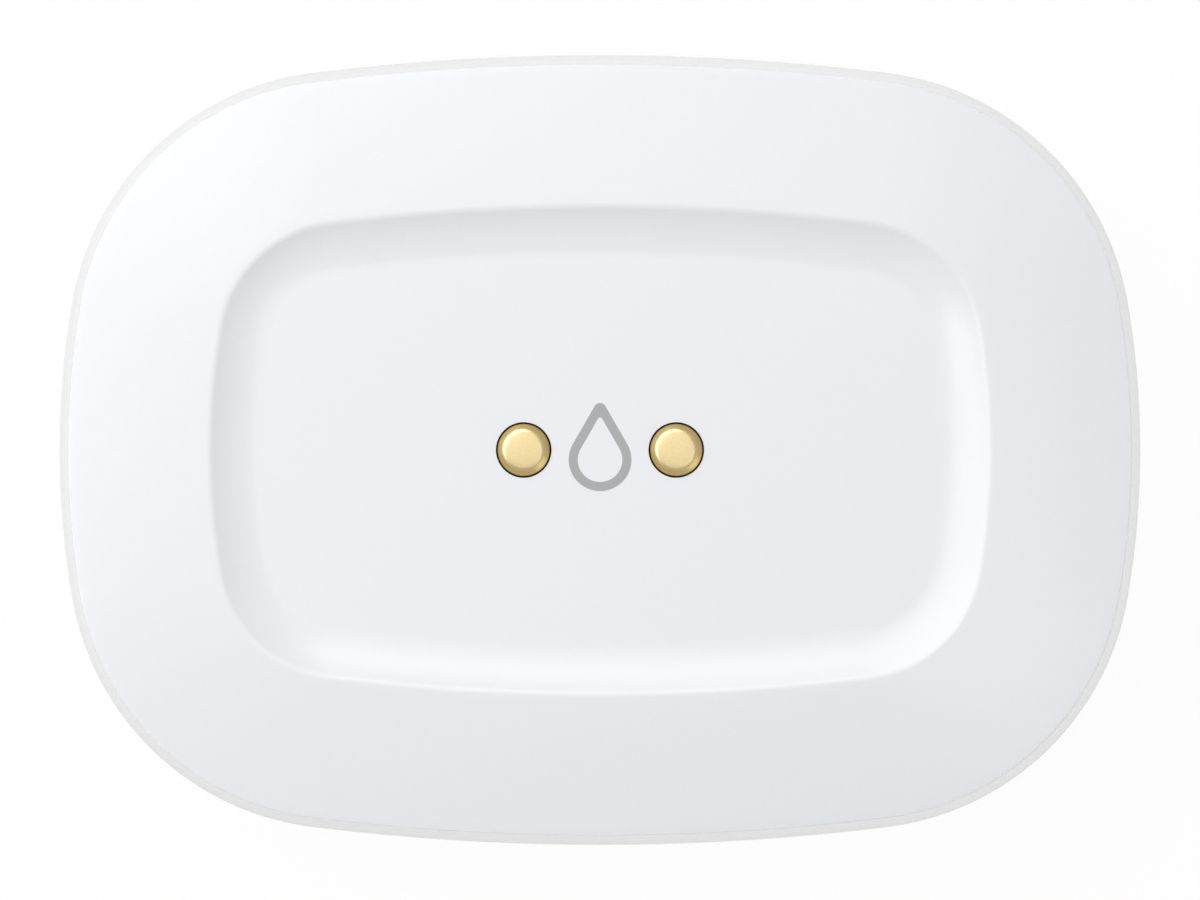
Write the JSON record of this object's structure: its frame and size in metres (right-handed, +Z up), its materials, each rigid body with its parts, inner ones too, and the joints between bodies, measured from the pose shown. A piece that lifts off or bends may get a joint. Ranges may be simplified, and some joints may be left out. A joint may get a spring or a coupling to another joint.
{
  "type": "water leak sensor",
  "caption": "Flat rounded water leak sensor with a shallow drip dish, gold contact pins in the dish, contact feet below, a twist battery door and a pair button.",
  "frame": {"origin": "on the floor plane that the contact feet stand on, under the middle of the case", "axes": "+Z up towards the drip dish, +X along the length of the case, +Y across it"},
  "size_m": [0.052, 0.038, 0.0147],
  "materials": {
    "cover_white": "moulded ABS, fine satin",
    "base_white": "moulded ABS, satin",
    "seal_rubber": "silicone, matt",
    "screw_steel": "zinc plated",
    "contact_gold": "gold plated brass, polished",
    "clip_steel": "stainless strip",
    "spring_gold": "gold plated spring strip and wire",
    "board_green": "solder mask over glass epoxy",
    "radio_green": "solder mask over glass epoxy",
    "shield_tin": "tinned sheet",
    "antenna_ceramic": "fired, matt",
    "component_black": "moulded epoxy",
    "lamp_white": "clear lens over phosphor",
    "pipe_clear": "polished acrylic",
    "switch_black": "glass-filled nylon",
    "plunger_grey": "acetal",
    "button_white": "moulded ABS, satin",
    "cell_steel": "nickel plated",
    "door_white": "moulded ABS, satin"
  },
  "bodies": {
    "case": {"top_cover": "cover_white", "base_shell": "base_white", "case_seal": "seal_rubber", "case_screws": "screw_steel", "left_contact_pin": "contact_gold", "right_contact_pin": "contact_gold", "pin_seals": "seal_rubber", "pin_clips": "clip_steel", "pin_fingers": "spring_gold", "floor_contacts": "contact_gold", "floor_contact_seals": "seal_rubber", "floor_contact_clips": "clip_steel", "floor_contact_springs": "spring_gold", "circuit_board": "board_green", "radio_board": "radio_green", "radio_shield": "shield_tin", "chip_antenna": "antenna_ceramic", "board_components": "component_black", "status_lamp": "lamp_white", "light_pipe": "pipe_clear", "pair_switch": "switch_black", "button_seal": "seal_rubber", "coin_cell": "cell_steel", "battery_negative_spring": "spring_gold", "battery_positive_clip": "spring_gold"},
    "battery_door": {"battery_door": "door_white", "door_seal": "seal_rubber"},
    "pair_button": {"pair_button": "button_white", "switch_plunger": "plunger_grey"}
  },
  "joints": [
    {"name": "battery_door_twist", "type": "hinge", "parent": "case", "child": "battery_door", "pos_m": [0, 0, 0], "axis": [0, 0, -1], "range_deg": [0, 45]},
    {"name": "pair_button_press", "type": "slide", "parent": "case", "child": "pair_button", "axis": [0, 0, 1], "range_m": [0, 0.0003], "stiffness_N_per_m": 800}
  ]
}
